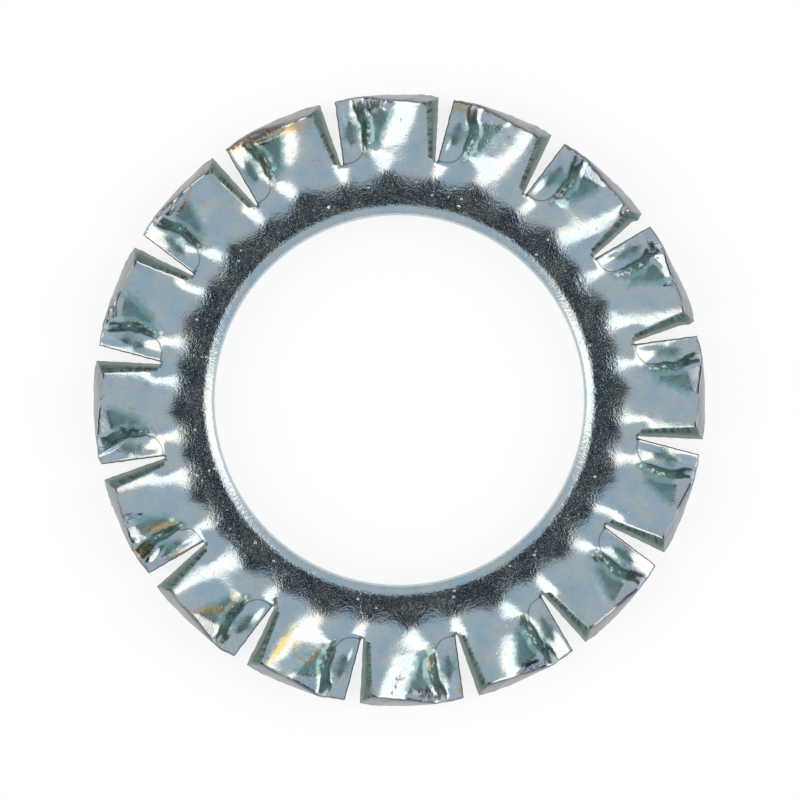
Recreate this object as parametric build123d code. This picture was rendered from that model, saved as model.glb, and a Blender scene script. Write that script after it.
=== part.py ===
from build123d import *
import os
from math import cos, degrees, pi, radians, sin, sqrt, tan

# A toothed lock washer for a 10 mm screw, of the kind with twisted teeth all round its rim.
# It is stamped from spring steel strip: a flat ring, with sixteen teeth parted by narrow slots.
# Each tooth is twisted, so that its clockwise edge stands up and its other edge hangs down.
# The hole's axis is Z, and Z = 0 is the middle of the sheet in the flat ring.
# In a tooth's own frame X runs across it, clockwise seen from above, Y outward and Z up.
# Turning a tooth half round its own Y axis gives the same tooth again, so each section below
# draws the top once and turns it for the underside.

# ---- Driving dimensions, in mm and degrees ----
hole_diameter = 10.7
flat_width = 0.80            # from the hole's wall to where the sheet starts to bend
web_width = 0.82             # from there to the roots of the slots
tooth_length = 1.93          # from the roots of the slots to the rim
sheet_thickness = 0.90
tooth_count = 16
slot_width = 0.42            # between neighbouring teeth, at the rim

hole_roll_width = 0.35       # rounded edge on top, where the punch went in
hole_roll_depth = 0.13
hole_burr_chamfer = 0.06     # broken edge underneath, where it came out

bend_width = 0.85            # measured outward, from flat to the full slope
tooth_rise = 0.51            # of a raised corner's top, above the top of the flat ring
corner_thinning = 0.10       # the forming squeezes the sheet thinner by this at the corners
cut_face_lean = 0.34         # a raised edge's bottom stands out this far past its top, at the rim
rim_lean_middle = 9.0        # the rim face leans in at the top, in the middle of a tooth
rim_lean_raised = 16.0       # and more at its raised corner

lobe_width = 0.83            # hollow that the forming punch leaves along the lowered edge
lobe_depth = 0.05            # of that hollow, below the twisted sheet
lobe_wall_width = 0.34       # steep wall between the hollow and the tooth's middle

# ---- Proportions of the bent sheet ----
wave_skew = 0.08             # moves the wave's crest and trough towards the slots
wave_crest_place = 0.60      # the crest, as a share of the half width
fold_place_root = 0.12       # where the raised side starts, as a share of the way from the wall
fold_place_rim = 0.42        # to the raised edge: this fold crosses the tooth at a slant
wall_foot_share = -0.72      # heights over a tooth, as shares of its lift
wall_top_share = -0.12
fold_share = 0.10
flank_share = 0.60
root_lean_share = 0.50       # of the cut face's lean, at the roots of the slots
tooth_section_places = (0.35, 1.00)   # of the way from the slot roots to the end
corner_turn_share = 0.70     # a raised corner stands this share of the half pitch off the middle
trim_share = 0.10            # a tooth is made longer by this share of its length, then trimmed
roll_limit_share = 0.70      # the rolled edge takes no more than this share of the width or sheet

# ---- Values that follow ----
half_sheet = sheet_thickness / 2
half_pitch = pi / tooth_count
hole_radius = hole_diameter / 2
bend_radius = hole_radius + flat_width
root_radius = bend_radius + web_width
rim_radius = root_radius + tooth_length
corner_squeeze = corner_thinning / 2
corner_lift = tooth_rise + corner_squeeze    # of the middle of the sheet, at a raised corner
corner_setback = (sheet_thickness - corner_thinning) * tan(radians(rim_lean_raised))
corner_station = rim_radius * cos(corner_turn_share * half_pitch) - corner_setback

# The sections across a tooth are flat, at these distances from the hole's axis.
flat_station = bend_radius * cos(half_pitch)
root_station = root_radius * cos(half_pitch)
web_station = (flat_station + root_station) / 2
end_station = rim_radius + trim_share * tooth_length


def lift_share(radius):
    """Share of the full lift that the sheet has at a radius: a parabola from flat, then a slope."""
    slope_start = bend_radius + bend_width / 2
    slope = 1 / (corner_station - slope_start)
    if radius < bend_radius + bend_width:
        return slope * (radius - bend_radius) ** 2 / (2 * bend_width)
    return slope * (radius - slope_start)


def wave_height(place):
    """The wave inside the slots, from -1 to 1: level on both slot lines, low, then high."""
    return sin(pi * place) - wave_skew * sin(2 * pi * place)


def between(start, end, share):
    return start + (end - start) * share


def closed_section(distance, lobe, panel):
    """A section of the sheet at a distance from the axis: its top, turned over for the underside."""
    lobe_top = Spline(*lobe)
    panel_top = Spline(*panel)
    lobe_under = Spline(*[(-x, -z) for x, z in lobe])
    panel_under = Spline(*[(-x, -z) for x, z in panel])
    raised_edge = Line(panel_top @ 1, lobe_under @ 0)
    lowered_edge = Line(panel_under @ 1, lobe_top @ 0)
    outline = Wire([lobe_top, panel_top, raised_edge, lobe_under, panel_under, lowered_edge])
    across_tooth = Plane(origin=(0, distance, 0), x_dir=(1, 0, 0), z_dir=(0, -1, 0))
    return across_tooth.location * outline


def web_section(distance):
    """Inside the slots the teeth share one wavy sheet, which is level where the slots point."""
    half_width = distance * tan(half_pitch)
    lift = corner_lift * lift_share(distance / cos(half_pitch))
    lobe_end = lobe_width / half_width - 1
    lobe_places = (-1, between(-1, lobe_end, 0.5), lobe_end)
    panel_places = (lobe_end, wave_crest_place, 1)
    lobe = [(half_width * place, half_sheet + lift * wave_height(place)) for place in lobe_places]
    panel = [(half_width * place, half_sheet + lift * wave_height(place)) for place in panel_places]
    return closed_section(distance, lobe, panel)


def tooth_section(distance):
    """Outside the slot roots: the hollow, its steep wall, the level middle and the raised side."""
    reach = (distance - root_station) / (rim_radius - root_station)
    half_width = distance * tan(half_pitch) - slot_width / 2 * reach
    lean = cut_face_lean * between(root_lean_share, 1, reach)
    lift = corner_lift * lift_share(distance)
    squeeze = corner_squeeze * reach

    raised_x = half_width - lean
    wall_foot_x = lobe_width - half_width
    wall_top_x = wall_foot_x + lobe_wall_width
    fold_x = between(wall_top_x, raised_x, between(fold_place_root, fold_place_rim, reach))

    lowered_corner = (-half_width, half_sheet - lift - squeeze)
    lobe_floor = (lobe_width / 2 - half_width, half_sheet - lift - lobe_depth)
    wall_foot = (wall_foot_x, half_sheet + lift * wall_foot_share)
    wall_top = (wall_top_x, half_sheet + lift * wall_top_share)
    fold = (fold_x, half_sheet + lift * fold_share)
    flank = (between(fold_x, raised_x, 0.5), half_sheet + lift * flank_share)
    raised_corner = (raised_x, half_sheet + lift - squeeze)
    lobe = (lowered_corner, lobe_floor, wall_foot)
    panel = (wall_foot, wall_top, fold, flank, raised_corner)
    return closed_section(distance, lobe, panel)


def rim_tool():
    """The block that trims a tooth to the rim: upright at the lowered corner, then leaning in."""
    half_width = end_station * tan(half_pitch)
    tool_reach = 2 * (half_sheet + corner_lift)
    corner_distance = sqrt(rim_radius ** 2 - half_width ** 2)
    raised_bottom = corner_lift + corner_squeeze - half_sheet
    outlines = []
    for height in (-tool_reach, tool_reach):
        middle_lean = (height + half_sheet) * tan(radians(rim_lean_middle))
        raised_lean = (height - raised_bottom) * tan(radians(rim_lean_raised))
        lowered = (-half_width, corner_distance, height)
        middle = (0, rim_radius - middle_lean, height)
        raised = (half_width, corner_distance - raised_lean, height)
        inner_raised = (half_width, flat_station / 2, height)
        inner_lowered = (-half_width, flat_station / 2, height)
        rim_line = ThreePointArc(lowered, middle, raised)
        back_lines = Polyline(raised, inner_raised, inner_lowered, lowered)
        outlines.append(Wire([rim_line, *back_lines.edges()]))
    return Solid.make_loft(outlines, ruled=True)


def punched_hole():
    """What the punch takes out: a round hole, rolled over on top and broken at the bottom edge."""
    roll_width = min(hole_roll_width, roll_limit_share * flat_width)
    roll_depth = min(hole_roll_depth, roll_limit_share * sheet_thickness)
    top_start = (hole_radius + roll_width, half_sheet)
    roll_end = (hole_radius, half_sheet - roll_depth)
    burr_start = (hole_radius, hole_burr_chamfer - half_sheet)
    burr_end = (hole_radius + hole_burr_chamfer, -half_sheet)
    roll = TangentArc(top_start, roll_end, tangent=(-1, 0))
    rest = Polyline(roll_end, burr_start, burr_end, (0, -half_sheet), (0, half_sheet), top_start)
    profile = Plane.XZ * make_face(roll.edges() + rest.edges())
    return revolve(profile, Axis.Z)


def flat_ring():
    """The flat ring: a plate with one side for each tooth, and the punched hole."""
    plate = RegularPolygon(bend_radius, tooth_count, rotation=degrees(half_pitch))
    blank = extrude(Pos(0, 0, -half_sheet) * plate, sheet_thickness)
    return blank - punched_hole()


def web_and_tooth():
    """One pitch of the bent sheet, in two lofts that share the section at the slot roots."""
    root = web_section(root_station)
    web = Solid.make_loft([web_section(flat_station), web_section(web_station), root])
    stations = [between(root_station, end_station, place) for place in tooth_section_places]
    tooth = Solid.make_loft([root] + [tooth_section(distance) for distance in stations])
    return web, tooth & rim_tool()


def lock_washer():
    """The whole washer, one solid: the flat ring with the teeth joined on all round it."""
    web, tooth = web_and_tooth()
    turns = [Rot(0, 0, -360 / tooth_count * place) for place in range(tooth_count)]
    return flat_ring().fuse(*[turn * web for turn in turns], *[turn * tooth for turn in turns])


os.makedirs("parts", exist_ok=True)
washer = lock_washer()
export_step(washer, "parts/lock_washer.step")
print("solids", len(washer.solids()), "valid", washer.is_valid, "volume", round(washer.volume, 3))
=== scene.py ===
"""Toothed lock washer in zinc-plated spring steel: a flat ring with sixteen twisted teeth.

The formulas below work in millimetres and in a tooth's own frame: x runs clockwise across the tooth,
y outward along its middle, r is the distance from the hole's axis and z is up from the middle of the
sheet. MM makes metres of them. The underside is the top given a half turn about a tooth's outward
line, so every surface is worked out as a top and turned over where it is wanted.
"""

import math

import bmesh
import bpy
import numpy as np
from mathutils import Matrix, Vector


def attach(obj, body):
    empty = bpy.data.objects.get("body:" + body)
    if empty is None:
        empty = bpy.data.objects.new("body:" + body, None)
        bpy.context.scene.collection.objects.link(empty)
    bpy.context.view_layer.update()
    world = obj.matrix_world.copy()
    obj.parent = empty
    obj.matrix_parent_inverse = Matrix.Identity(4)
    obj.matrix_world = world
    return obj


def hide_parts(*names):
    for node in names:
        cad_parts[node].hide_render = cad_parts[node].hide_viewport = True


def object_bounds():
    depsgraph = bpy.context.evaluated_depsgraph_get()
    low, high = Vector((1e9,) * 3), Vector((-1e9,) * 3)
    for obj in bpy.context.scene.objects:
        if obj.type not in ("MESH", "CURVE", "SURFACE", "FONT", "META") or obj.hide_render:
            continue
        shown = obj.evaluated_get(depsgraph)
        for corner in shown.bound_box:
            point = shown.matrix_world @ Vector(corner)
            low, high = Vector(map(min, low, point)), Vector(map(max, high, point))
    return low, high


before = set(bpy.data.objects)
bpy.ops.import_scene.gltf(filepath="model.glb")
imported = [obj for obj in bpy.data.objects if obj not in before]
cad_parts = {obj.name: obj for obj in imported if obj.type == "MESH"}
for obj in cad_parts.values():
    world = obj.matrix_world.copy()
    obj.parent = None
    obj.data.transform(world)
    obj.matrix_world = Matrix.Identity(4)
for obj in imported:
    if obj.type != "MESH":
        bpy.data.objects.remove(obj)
packed_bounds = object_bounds()

MM = 0.001
SEED = 1606

# ---- Sizes of the washer, in mm ----
TOOTH_COUNT = 16
HALF_PITCH = math.pi / TOOTH_COUNT
HALF_SHEET = 0.45
HOLE_RADIUS = 5.35
HOLE_ROLL_WIDTH = 0.35
HOLE_ROLL_DEPTH = 0.26
HOLE_BURR = 0.06
FLAT_RADIUS = 5.95           # the flat ring ends here
BEND_WIDTH = 0.71            # and the full slope starts this much further out
ROOT_RADIUS = 6.97           # the slots start here
RIM_RADIUS = 8.90
RIM_LIMIT = 8.895            # no burr reaches further
SLOT_WIDTH = 0.42            # at the rim
SLOT_START = (0.02, 0.01)    # each of its sides opens by this much at once, over this share of its length
BEND_SLOPE = 0.27            # rise per mm along a tooth's crest, after the bend
RIM_SLOPE = 0.18             # and at the rim
CUT_FACE_LEAN = 0.34         # at the rim, a raised edge's bottom stands out this far past its top
ROOT_LEAN = 0.5              # share of that at the slot roots
LEAN_START = 0.05            # it sets in over this share of the slot's length
EDGE_ROUND = 0.045           # radius of the edges that the shears left
ROUND_START = 0.02           # it sets in over this share of the slot's length
RIM_ROLL = (0.09, 0.013)     # width and depth of the edge that blanking rolled over, along the rim

# ---- Where along r a form sets in: (nothing yet, in full), in mm ----
SWELL_START = (FLAT_RADIUS, FLAT_RADIUS + 0.6)
PANEL_START = (ROOT_RADIUS, ROOT_RADIUS + 0.55)
HOLLOW_START = (ROOT_RADIUS, ROOT_RADIUS + 0.03)
RAGGED_START = (ROOT_RADIUS + 0.05, ROOT_RADIUS + 0.5)
STRIP_START = (7.0, 7.2)     # the rough strip beside the crease
STRIP_END = (8.30, 8.05)     # and the other way round at its end
CREASE_START = (7.1, 7.4)    # the unevenness of the crease
FLOOR_START = (7.1, 7.5)     # the tilt and the curl of the hollow's floor
TRIANGLE_FADE = (7.20, 7.55) # the pressed triangle and its stain

# ---- The bent sheet: shares of the lift, at shares of the way from one slot line to the next ----
# Each knot is (share of the way, share of the lift, slope of the curve).
WEB_KNOTS = ((0.0, 0.0, -7.0), (0.20, -0.78, 0.0), (0.43, 0.0, 4.4), (0.60, 0.61, 3.0),
             (0.80, 1.0, 0.0), (1.0, 0.0, -7.0))
PANEL_KNOTS = ((0.0, -1.0, 0.0), (0.20, -0.80, 2.2), (0.43, 0.15, 3.7), (0.55, 0.52, 2.5),
               (0.68, 0.82, 1.75), (0.76, 0.92, 0.95), (0.82, 0.96, 0.45), (0.87, 0.965, -0.2),
               (1.0, 0.90, -0.6))
RIM_PANEL_KNOTS = ((0.0, -1.0, 0.0), (0.20, -0.80, 1.8), (0.43, -0.05, 2.3), (0.56, 0.30, 2.8),
                   (0.68, 0.71, 2.9), (0.77, 0.92, 1.4), (0.82, 0.96, 0.4), (0.86, 0.967, -0.1),
                   (1.0, 0.93, -0.3))
PANEL_CHANGE = (7.25, 8.60)  # from the panel's knots to the rim's between these radii

# ---- The rim: (x, radius of the outline or width of the rim face, slope of the curve), in mm ----
OUTLINE_KNOTS = ((-1.55, 8.83, 0.05), (-1.1, 8.855, 0.03), (0.0, 8.87, 0.01), (1.0, 8.88, 0.0),
                 (1.55, 8.85, -0.08))
RIM_FACE_KNOTS = ((-1.55, 0.0, 0.0), (-0.85, 0.01, 0.05), (0.0, 0.15, 0.12), (0.85, 0.235, 0.05),
                  (1.25, 0.23, -0.05))

# ---- Pressed places on a tooth, in mm ----
TRIANGLE_START = (-0.29, 7.47)       # (x, r) of the lower end of the pressed triangle
TRIANGLE_HEIGHT = 0.04       # there its plane lies this far above the panel
TRIANGLE_RISE = (0.10, 0.070)        # its rise per mm along x and along r
TRIANGLE_TOP = (8.47, 0.20)  # radius of its upper end on the tooth's middle, and that line's slope
TRIANGLE_TOP_RISE = 0.12     # beyond that line its plane rises this much faster outwards
FOLD_ROUND = 0.05            # the fold is rounded where plane and panel are closer than this
HOLLOW_EDGE = -0.74          # x of the crease along the hollow's right side
HOLLOW_VEER = (7.95, 8.75)   # between these radii it veers to the left
HOLLOW_VEER_WIDTH = 0.26     # by this much
HOLLOW_BOTTOM = 7.00         # radius of the hollow's inner end
HOLLOW_CORNER = 0.38         # radius of the corner between the two
HOLLOW_WALL = (-0.06, 0.32)  # the wall runs between these distances from the crease
HOLLOW_STEP = 0.16           # and it is this wide along the hollow's inner end
WALL_EVENNESS = 0.5          # 0 is a wall with soft ends, 1 an even slope
HOLLOW_TILT = (0.03, 0.32)   # the floor rises to the right by this much per mm, inside and at the rim
TILT_CHANGE = (7.9, 8.9)     # from the one to the other between these radii
HOLLOW_TURN = (0.08, 0.29)   # between these distances the floor turns from its left edge to its middle
HOLLOW_CURL = (0.34, 0.40)   # the floor curls up beyond this distance from its edge, this fast
STRIP_PLACE = (0.15, 0.13)   # distance of the rough strip's middle from the crease, and its half width
# Heights along the hollow's left edge and its middle: (r, height, slope).
HOLLOW_EDGE_KNOTS = ((7.0, -0.15, -0.20), (8.9, -0.54, -0.22))
HOLLOW_MIDDLE_KNOTS = ((7.0, -0.155, -0.32), (7.2, -0.215, -0.34), (7.5, -0.295, -0.15),
                       (7.75, -0.320, -0.09), (8.10, -0.355, -0.12), (8.35, -0.395, -0.21),
                       (8.9, -0.53, -0.24))

# ---- Mesh ----
COLUMNS = 48                 # for one pitch
TOOTH_ROWS = 36
WEB_ROWS = 10
ROLL_STEPS = 6
FLAT_STEPS = 3
HOLE_WALL_SHARES = (0.1, 0.9, 1.0)   # where the hole's wall has points, as shares of its height
SHARE_PACKING = 0.35         # the columns are closer by this share at a tooth's left edge
PACKING_FADE = 1.1           # the larger, the sooner that eases off to the right
GRID_PASSES = 5
GRID_START = RIM_RADIUS - 0.15       # radius of the rim in the first pass
WELD_DISTANCE = 1e-7         # metres
SMALLEST = 1e-6              # keeps a division away from 0
SHEET_STEP = 4.0             # mm on the unrolled sheet from one tooth to the next
LATTICE_SIZE = 64            # random values along each side of a pattern
MARK_NAMES = ("crease", "edge", "teal", "scuff", "golden", "rust", "fleck")
# Materials by number.
FORMED = 0
SHEAR = 1
RIM = 2

# ---- Unevenness of the sheet: (size of a patch, height), in mm ----
SWELLS = ((0.55, 0.0045), (0.21, 0.0021))
CREASE_WANDER = (0.16, 0.035)
RIM_WANDER = (0.13, 0.014)
SIDE_WANDER = (0.11, 0.010)
TORN_CELL = 0.14             # size of a patch where the sheet is torn
TORN_HEIGHT = 0.016          # under the scuffs
STRIP_HEIGHT = 0.034         # in the strip beside the crease
RIM_PATTERN_STEP = 0.37      # mm in the rim's pattern from one tooth to the next
SIDE_PATTERN_STEP = 0.61     # and in that of the sides
# Each of these numbers picks a random pattern. The swells, the rim and the sides use a few round theirs.
CREASE_PATTERN = 3
SWELL_PATTERN = 10
TORN_PATTERN = 15
STRIP_PATTERN = 16
RIM_PATTERN = 20
SIDE_PATTERN = 30

# ---- Dents and ridges: (tooth, x, y, half length, half width, lean of its length, height) ----
DENTS = (
    (0, -0.4, 8.52, 0.3, 0.14, 0, -0.045), (0, 0.05, 8.58, 0.2, 0.08, 20, 0.02),
    (3, 0.3, 8.56, 0.22, 0.055, 85, -0.07), (3, 0.19, 8.56, 0.22, 0.06, 85, 0.05),
    (3, -1.1, 8.45, 0.22, 0.09, 5, -0.055), (3, -0.78, 8.28, 0.24, 0.07, -30, 0.05),
    (3, -0.52, 8.46, 0.15, 0.08, 15, -0.06), (3, -0.9, 8.6, 0.18, 0.06, 10, 0.035),
    (7, -0.05, 8.58, 0.4, 0.07, 0, -0.03), (8, -0.55, 8.55, 0.35, 0.1, 0, -0.04),
    (9, -0.76, 8.6, 0.2, 0.05, 80, -0.045), (10, -0.95, 8.35, 0.3, 0.045, 100, 0.03),
    (11, -0.86, 8.47, 0.26, 0.22, 0, -0.12), (11, -1.12, 8.22, 0.26, 0.06, -60, 0.05),
    (11, -0.62, 8.28, 0.24, 0.06, 60, 0.05), (11, -0.55, 8.62, 0.14, 0.08, 30, 0.045),
    (11, 0.24, 8.52, 0.28, 0.06, 88, -0.085), (11, 0.1, 8.5, 0.28, 0.07, 88, 0.07),
    (11, -0.86, 8.5, 0.09, 0.08, 0, 0.07), (11, -1.3, 8.0, 0.4, 0.06, 85, 0.03),
    (12, -1.02, 8.37, 0.46, 0.05, 117, -0.065), (12, -0.92, 8.4, 0.4, 0.05, 117, 0.03),
    (13, -0.78, 8.68, 0.25, 0.045, -15, -0.035), (13, -0.38, 8.68, 0.25, 0.045, 18, -0.035),
    (14, -0.7, 8.66, 0.28, 0.05, -12, -0.03), (14, -0.3, 8.66, 0.22, 0.05, 22, -0.03),
    (15, -0.45, 8.5, 0.45, 0.07, -5, -0.045), (2, 1.1, 8.46, 0.14, 0.06, 105, -0.07),
)
# ---- Burrs on the rim: (tooth, x, half width, how far they stand out) ----
RIM_BURRS = ((2, 0.58, 0.11, 0.06), (3, 0.84, 0.24, 0.05), (3, -0.3, 0.45, -0.03),
             (9, -0.78, 0.18, 0.055), (10, -1.15, 0.14, 0.045), (11, -0.38, 0.3, 0.085),
             (11, 0.8, 0.06, 0.045), (12, -1.3, 0.15, 0.03), (15, -0.45, 0.5, 0.02))
# ---- Burrs on a raised side: (tooth, r, half width, how far they stand out) ----
SIDE_BURRS = ((2, 8.66, 0.1, 0.085), (3, 8.68, 0.12, 0.06), (9, 8.55, 0.1, 0.02),
              (13, 8.6, 0.14, 0.03))

# ---- Stains and scuffs, with painted glints and painted dark reflection among them: (tooth, x, y, half length, half width, lean of its length, strength) ----
SCUFFS = (
    (0, -0.45, 8.55, 0.5, 0.22, 0, 1.0), (0, -0.7, 7.75, 0.6, 0.09, 88, 1.0),
    (0, -0.98, 8.35, 0.3, 0.1, 75, 0.5), (0, 0.45, 8.12, 0.32, 0.15, 60, 0.6),
    (0, 0.1, 8.66, 0.4, 0.07, 0, 0.6), (1, 0.38, 8.22, 0.3, 0.09, 65, 0.7),
    (1, -0.3, 8.72, 0.7, 0.06, 0, 0.5), (2, -0.6, 7.5, 0.3, 0.15, 60, 0.5),
    (3, -0.95, 8.45, 0.5, 0.2, -20, 0.8), (3, 0.25, 8.55, 0.2, 0.09, 85, 0.6),
    (6, -0.87, 8.35, 0.42, 0.1, 86, 0.8), (6, -0.45, 7.3, 0.25, 0.15, 85, 0.8),
    (7, -0.1, 8.63, 0.75, 0.11, 0, 0.9), (7, -0.75, 8.3, 0.42, 0.14, 80, 0.8),
    (7, -0.5, 7.3, 0.25, 0.2, 85, 0.8), (7, -0.08, 7.35, 0.25, 0.08, 80, 0.7),
    (8, -0.5, 8.6, 0.62, 0.2, 0, 1.0), (8, 0.4, 8.1, 0.52, 0.13, 65, 0.8),
    (9, -0.62, 7.5, 0.35, 0.1, 85, 0.8), (9, -1.0, 8.5, 0.3, 0.12, -20, 0.5),
    (10, -0.62, 7.7, 0.35, 0.12, 85, 1.0), (11, -0.85, 8.45, 0.36, 0.3, 0, 1.0),
    (11, -0.6, 7.6, 0.35, 0.08, 88, 1.0), (12, -0.52, 7.9, 0.35, 0.2, 80, 0.8),
    (13, -0.62, 7.7, 0.35, 0.12, 80, 0.8), (14, -0.6, 7.6, 0.4, 0.12, 80, 0.7),
    (15, -0.35, 8.6, 0.75, 0.12, 0, 1.0), (15, -0.68, 8.0, 0.4, 0.08, 85, 0.9),
)
GOLDEN_STAINS = (
    (0, -1.45, 8.57, 0.12, 0.06, 0, 0.6), (1, -1.43, 8.42, 0.24, 0.05, 80, 0.8),
    (1, -1.16, 8.56, 0.4, 0.24, 0, 0.62), (3, 1.21, 8.48, 0.09, 0.06, 0, 1.0),
    (3, 1.05, 8.52, 0.14, 0.05, 0, 0.6), (6, -0.39, 7.15, 0.09, 0.07, 0, 0.9),
    (6, -1.36, 7.6, 0.12, 0.05, 90, 0.8), (8, -1.42, 8.45, 0.28, 0.06, 85, 0.7),
    (8, -1.1, 8.73, 0.2, 0.05, 0, 0.6), (8, -0.8, 8.07, 0.14, 0.05, 80, 0.9),
    (8, -0.6, 7.58, 0.3, 0.12, 75, 0.5), (8, -0.1, 8.06, 0.05, 0.04, 0, 0.7),
    (8, -1.2, 6.77, 0.15, 0.06, -10, 0.5), (9, 0.77, 7.84, 0.6, 0.13, 76, 1.0),
    (9, 0.12, 7.66, 0.14, 0.1, 0, 0.45), (10, -0.08, 8.16, 0.58, 0.11, 48, 0.9),
    (10, -0.36, 7.42, 0.24, 0.06, 100, 0.8), (10, -0.72, 7.2, 0.12, 0.06, 60, 0.5),
    (10, -1.0, 7.9, 0.2, 0.05, 70, 0.6), (10, 1.0, 6.36, 0.55, 0.06, -5, 0.4),
    (11, -1.35, 7.6, 0.34, 0.06, 85, 1.0), (11, -0.8, 8.68, 0.16, 0.08, 20, 0.8),
    (11, -0.85, 8.48, 0.3, 0.24, 0, 0.7), (11, -0.36, 8.05, 0.42, 0.15, 75, 0.6),
    (11, -0.7, 8.48, 0.08, 0.06, 0, 0.7), (11, -0.42, 7.62, 0.3, 0.09, 80, 0.6),
    (11, -1.2, 6.3, 0.3, 0.05, 25, 0.4), (12, 0.07, 7.73, 0.13, 0.05, 65, 0.8),
    (13, 1.1, 8.42, 0.22, 0.06, -60, 0.4), (14, 0.1, 8.42, 0.42, 0.1, 30, 0.6),
    (14, 0.35, 8.08, 0.2, 0.05, -35, 0.5), (14, 0.1, 8.7, 0.3, 0.05, 0, 0.4),
    (15, 0.62, 8.38, 0.48, 0.2, -12, 0.55), (15, -0.7, 7.92, 0.36, 0.08, 82, 0.8),
    (15, -0.4, 8.55, 0.95, 0.17, -3, 0.58), (15, -1.3, 8.6, 0.16, 0.06, 0, 0.6),
    (1, -0.29, 5.83, 0.14, 0.08, -8, 0.6),
)
RUST_SPOTS = (
    (1, -0.98, 8.5, 0.1, 0.2, 15, 0.62), (1, -1.45, 8.18, 0.09, 0.05, 80, 0.7),
    (2, 1.13, 8.42, 0.12, 0.06, 105, 0.9), (3, 1.22, 8.46, 0.06, 0.04, 0, 0.6),
    (9, 0.85, 8.56, 0.24, 0.03, -12, 0.8), (9, 1.37, 6.68, 0.2, 0.05, -70, 0.7),
    (10, -1.32, 6.7, 0.12, 0.05, -40, 0.6), (12, 0.46, 8.53, 0.12, 0.03, -40, 0.6),
    (13, 1.12, 8.66, 0.12, 0.05, 0, 0.5), (15, -0.45, 8.63, 0.85, 0.07, 0, 0.75),
)
TEAL_STAINS = ((2, -0.72, 7.92, 0.6, 0.09, 33, 0.9), (13, 0.0, 8.1, 0.5, 0.35, 40, 0.4))
# bright specks: chips in the plate, and painted glints in the smallest ones round the flat ring
FLECKS_AND_GLINTS = (
    (1, -0.29, 5.83, 0.1, 0.05, -8, 0.75), (2, -0.67, 7.47, 0.07, 0.04, 0, 0.6),
    (5, 0.38, 7.73, 0.04, 0.04, 0, 0.6), (5, 0.78, 7.35, 0.04, 0.04, 0, 0.6),
    (5, -0.35, 7.99, 0.04, 0.04, 0, 0.52), (6, 0.52, 8.6, 0.07, 0.05, 30, 0.6),
    (7, -0.84, 8.05, 0.55, 0.04, 82, 0.52),
    (8, 0.72, 5.99, 0.045, 0.04, 0, 0.52), (8, 1.36, 5.88, 0.045, 0.04, 0, 0.52),
    (8, -0.43, 5.67, 0.045, 0.04, 0, 0.52), (12, 0.0, 6.14, 0.045, 0.04, 0, 0.6),
    (12, -0.72, 7.18, 0.06, 0.05, 0, 0.6), (13, -0.52, 7.15, 0.06, 0.05, 0, 0.6),
    (15, 0.51, 5.93, 0.06, 0.05, 0, 0.6),
)
HOLLOW_REFLECTION_PATCH = ((0, -1.05, 7.84, 0.45, 0.25, 57, 0.8),)     # teal painted dark reflection, in every hollow
HORSESHOE_STAIN = (9, 0.07, 7.66, 0.35, 0.055)       # tooth, x, y, radius and width of the line
HORSESHOE_STRENGTH = 0.75
HORSESHOE_OPENING = (-0.8, -0.1)     # outward from its middle, in its radii: none yet, in full
TRIANGLE_TEAL_REFLECTION = 0.74         # teal painted on the pressed triangle as its dark reflection; each pair is (none yet, in full), in mm
TRIANGLE_TEAL_FOLD = (-0.04, 0.03)   # height of the pressed plane above the panel
TRIANGLE_TEAL_CREASE = (-0.1, 0.2)   # distance from the crease
TRIANGLE_TEAL_TOP = (0.0, -0.14)     # distance past the triangle's upper end
STRIP_STAINS = {"teal": 0.72, "golden": 0.22, "fleck": 0.4, "scuff": 0.6}   # beside the crease
ROOT_SHADE_PLACE = (1.34, ROOT_RADIUS)     # painted shade at the slot roots, drawn as dark scuffs: distance from the middle, radius
ROOT_SHADE_SIZE = (0.16, 0.1)             # half their width and height
ROOT_SHADE_STRENGTH = 1.2
RIM_RUST_STRENGTH = 1.1
RIM_RUST_WIDTH = 0.085
RIM_RUST_END = (1.3, 0.4)    # x where it has faded out on the right, and where it is in full
CUT_RUST = 0.25              # share of the rim's rust that the cut faces have
# ---- For each tooth: rust along the rim, and golden tint of its cut faces ----
RIM_RUST = (0.35, 1.0, 0.8, 0.4, 0.15, 0.1, 0.1, 0.2, 0.35, 0.5, 0.7, 0.5, 0.3, 0.35, 0.4, 1.0)
CUT_TINT = (0.05, 0.0, 0.0, 0.0, 0.0, 0.0, 0.0, 0.05, 0.05, 0.05, 0.1, 0.05, 0.05, 0.15, 0.2, 0.15)

# ---- Camera: image in pixels, the rest in mm and degrees ----
IMAGE_SIZE = 800.0
WASHER_CENTRE = (399.3, 400.1)
VIEW_WIDTH = 23.16
CAMERA_HEIGHT = 300.0
SENSOR_WIDTH = 36.0
CLIP_DISTANCES = (10.0, 10000.0)
FIRST_TOOTH_TURN = -2.4      # degrees clockwise from the top of the image

# ---- Studio, in mm and degrees clockwise from the top of the image ----
FLOOR_HALF_SIZE = 900.0
FLOOR_GAP = 0.001            # below the washer
FLOOR_COLOUR = (0.25, 0.25, 0.25)
FLOOR_GLOW = 0.8
SOFTBOX_DISTANCE = 600.0
SOFTBOX_HALF_WIDTH = 230.0
SOFTBOX_HEIGHT = 1950.0
SOFTBOX_COLOUR = (1.08, 1.0, 0.91)
SOFTBOX_STRENGTH = 2.0
RIGHT_SOFTBOX_DIRECTION = 80.0
LEFT_SOFTBOX_DIRECTION = 262.0
CARD_HEIGHT = 900.0
CARD_SOLID_RADIUS = 180.0
CARD_RADIUS = 322.0
CARD_COLOUR = (0.012, 0.014, 0.017)
ROOM_COLOUR = (0.60, 0.67, 0.735)
ROOM_STRENGTH = 1.0

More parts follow.
